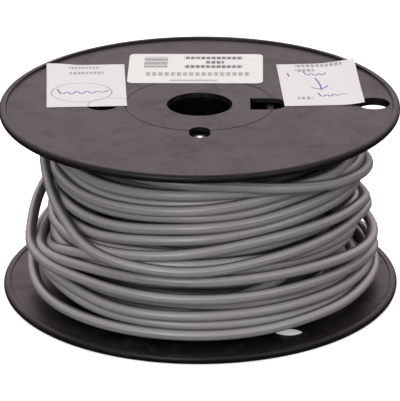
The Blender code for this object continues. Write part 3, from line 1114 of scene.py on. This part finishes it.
class SPOOL_OT_flanges(bpy.types.Operator):
    """Make both flanges with their rims, holes and groove."""

    bl_idname = "wire_coil.flanges"
    bl_label = "Flanges"

    def execute(self, context):
        sizes = context.scene.spool_sizes
        material = plastic_finish("black_spool_plastic", sizes.colour, 1.0, 0.18)
        up = Matrix.Translation((0.0, 0.0, SPOOL_HEIGHT - RIM_HEIGHT))
        turned = Matrix.Rotation(sizes.lower_turn, 4, "Z") @ Matrix.Rotation(math.pi, 4, "X")
        down = Matrix.Translation((0.0, 0.0, RIM_HEIGHT)) @ turned
        make_flange("flange_top", sizes, sizes.upper_hole_position, up, material)
        make_flange("flange_bottom", sizes, sizes.lower_hole_position, down, material)
        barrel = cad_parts["barrel"]
        barrel.data.materials.clear()
        # Painted shade: the barrel takes a darker copy of the flange plastic, a third of its colour with
        # weaker reflection and no wear, so the bore and the slots look deep in shade.
        painted_shade_barrel = plastic_finish("barrel_plastic_painted_shade", lighter(sizes.colour, 0.3), 0.0, 0.06)
        barrel.data.materials.append(painted_shade_barrel)
        return {"FINISHED"}


class SPOOL_OT_wire(bpy.types.Operator):
    """Wind the wire on the barrel."""

    bl_idname = "wire_coil.wire"
    bl_label = "Wound wire"

    def execute(self, context):
        sizes = context.scene.wire_sizes
        points = Winding(sizes).points()
        length = sum((b - a).length for a, b in zip(points, points[1:]))
        print(f"wound wire: {len(points)} points, {length:.2f} m")
        mesh = wire_mesh(points, sizes)
        add_piece("wound_wire", mesh, insulation_finish(sizes), ["wire_coil"])
        add_piece("conductor_end", conductor_mesh(points, sizes), conductor_finish())
        return {"FINISHED"}


class SPOOL_OT_labels(bpy.types.Operator):
    """Lay the three paper labels on the upper flange."""

    bl_idname = "wire_coil.labels"
    bl_label = "Labels"

    def execute(self, context):
        sizes = context.scene.label_sizes
        plans = labels_plan(sizes)
        makes = (
            ("left", sizes.paper, left_marks, 0.0, 0.0),
            ("centre", sizes.card, centre_marks, sizes.corner, 0.0),
            ("right", sizes.paper, right_marks, 0.0, sizes.curl),
        )
        for side, paper, marks, corner, curl in makes:
            plan = plans[side]
            material = paper_finish(f"{side}_label_paper", paper, sizes.print_ink, plan, marks)
            mesh = label_mesh(f"{side}_label_sheet", plan, sizes, corner, curl)
            add_piece(f"label_{side}_sheet", mesh, material, [f"label_{side}"])
        ink = Finish("pen_ink", Roughness=0.45)
        tone = ink.noise(ink.position(), 900.0, 2.0)
        ink.drive("Base Color", ink.mix(tone, lighter(sizes.pen_ink, 0.7), lighter(sizes.pen_ink, 1.5)))
        add_piece("pen_marks_left", pen_mesh("pen_left", LEFT_PEN, plans["left"], sizes, 0.0), ink.material)
        right = pen_mesh("pen_right", RIGHT_PEN, plans["right"], sizes, sizes.curl)
        add_piece("pen_marks_right", right, ink.material)
        return {"FINISHED"}


# Lamps: name, place in metres and share of the main light's power
LAMPS = (
    ("key", (-0.45, -1.25, 0.6), 1.0),
    ("fill", (0.95, -0.9, 0.7), 0.4),
)
LAMP_WIDTH = 0.8
LAMP_AIM = Vector((0.0, 0.0, 0.04))
FLOOR_REACH = 6.0


class SPOOL_OT_studio(bpy.types.Operator):
    """Set the floor, the lights and the camera."""

    bl_idname = "wire_coil.studio"
    bl_label = "Studio"

    def execute(self, context):
        settings = context.scene.studio
        self.floor(settings)
        self.world(context.scene, settings)
        self.lights(settings)
        self.camera(context.scene, settings)
        return {"FINISHED"}

    def floor(self, settings):
        solid = bmesh.new()
        bmesh.ops.create_grid(solid, x_segments=1, y_segments=1, size=FLOOR_REACH)
        mesh = bpy.data.meshes.new("floor")
        solid.to_mesh(mesh)
        solid.free()
        plain = Finish(
            "floor", Roughness=0.9, Specular_IOR_Level=0.1, Emission_Strength=settings.floor_light)
        plain.drive("Base Color", (*settings.floor, 1.0))
        plain.drive("Emission Color", (1.0, 1.0, 1.0, 1.0))
        mesh.materials.append(plain.material)
        floor = linked("floor", mesh)
        floor.visible_diffuse = False
        floor.visible_glossy = False

    def world(self, scene, settings):
        """A soft box of light: bright overhead and behind, dimmer in front and dark below."""
        world = bpy.data.worlds.new("studio")
        scene.world = world
        work = NodeWork(world)
        direction = work.node("ShaderNodeTexCoord", output="Generated")
        behind = work.axis(direction, 1)
        up = work.axis(direction, 2)
        horizon = up.above(0.06, 0.2) * settings.around_light
        overhead = up.above(0.55, 0.9) * settings.overhead
        back = behind.above(0.35, 0.9) * up.above(0.3, 0.6)
        strength = horizon + overhead + back * settings.backdrop + settings.low_light
        background = world.node_tree.nodes["Background"]
        tint = work.mix(back, settings.light_colour, settings.backdrop_colour)
        work.feed(background.inputs["Color"], tint)
        work.feed(background.inputs["Strength"], strength)
        scene.view_settings.view_transform = "Standard"

    def lights(self, settings):
        for name, place, share in LAMPS:
            lamp = bpy.data.lights.new(name, "AREA")
            lamp.shape = "DISK"
            lamp.size = LAMP_WIDTH
            lamp.energy = settings.key_power * share
            item = linked(name, lamp)
            item.location = place
            item.rotation_euler = (LAMP_AIM - Vector(place)).to_track_quat("-Z", "Y").to_euler()

    def camera(self, scene, settings):
        lens = bpy.data.cameras.new("camera")
        lens.lens = settings.lens
        lens.sensor_width = 36.0
        lens.clip_start = 0.05
        lens.clip_end = 20.0
        item = linked("camera", lens)
        item.location = (
            0.0,
            -settings.distance * math.cos(settings.elevation),
            settings.aim_height + settings.distance * math.sin(settings.elevation))
        tilt = Matrix.Rotation(math.pi / 2.0 - settings.elevation, 4, "X")
        item.rotation_euler = (tilt @ Matrix.Rotation(settings.roll, 4, "Z")).to_euler()
        scene.camera = item


class SPOOL_PT_panel(bpy.types.Panel):
    """Sidebar panel that lists the sizes and the steps."""

    bl_idname = "SPOOL_PT_panel"
    bl_label = "Wire coil"
    bl_space_type = "VIEW_3D"
    bl_region_type = "UI"
    bl_category = "Wire coil"

    def draw(self, context):
        for name in ("spool_sizes", "wire_sizes", "label_sizes", "studio"):
            group = getattr(context.scene, name)
            box = self.layout.box()
            for key in group.__annotations__:
                box.prop(group, key)
        for step in STEPS:
            self.layout.operator(step.bl_idname)


GROUPS = {
    "spool_sizes": SpoolSizes,
    "wire_sizes": WireSizes,
    "label_sizes": LabelSizes,
    "studio": StudioSettings,
}
STEPS = (SPOOL_OT_flanges, SPOOL_OT_wire, SPOOL_OT_labels, SPOOL_OT_studio)


def register():
    for item in (*GROUPS.values(), *STEPS, SPOOL_PT_panel):
        bpy.utils.register_class(item)
    for name, group in GROUPS.items():
        setattr(bpy.types.Scene, name, PointerProperty(type=group))


def unregister():
    for name in GROUPS:
        delattr(bpy.types.Scene, name)
    for item in reversed((*GROUPS.values(), *STEPS, SPOOL_PT_panel)):
        bpy.utils.unregister_class(item)


def main():
    register()
    bpy.ops.wire_coil.flanges()
    bpy.ops.wire_coil.wire()
    bpy.ops.wire_coil.labels()
    bpy.ops.wire_coil.studio()


if __name__ == "__main__":
    main()
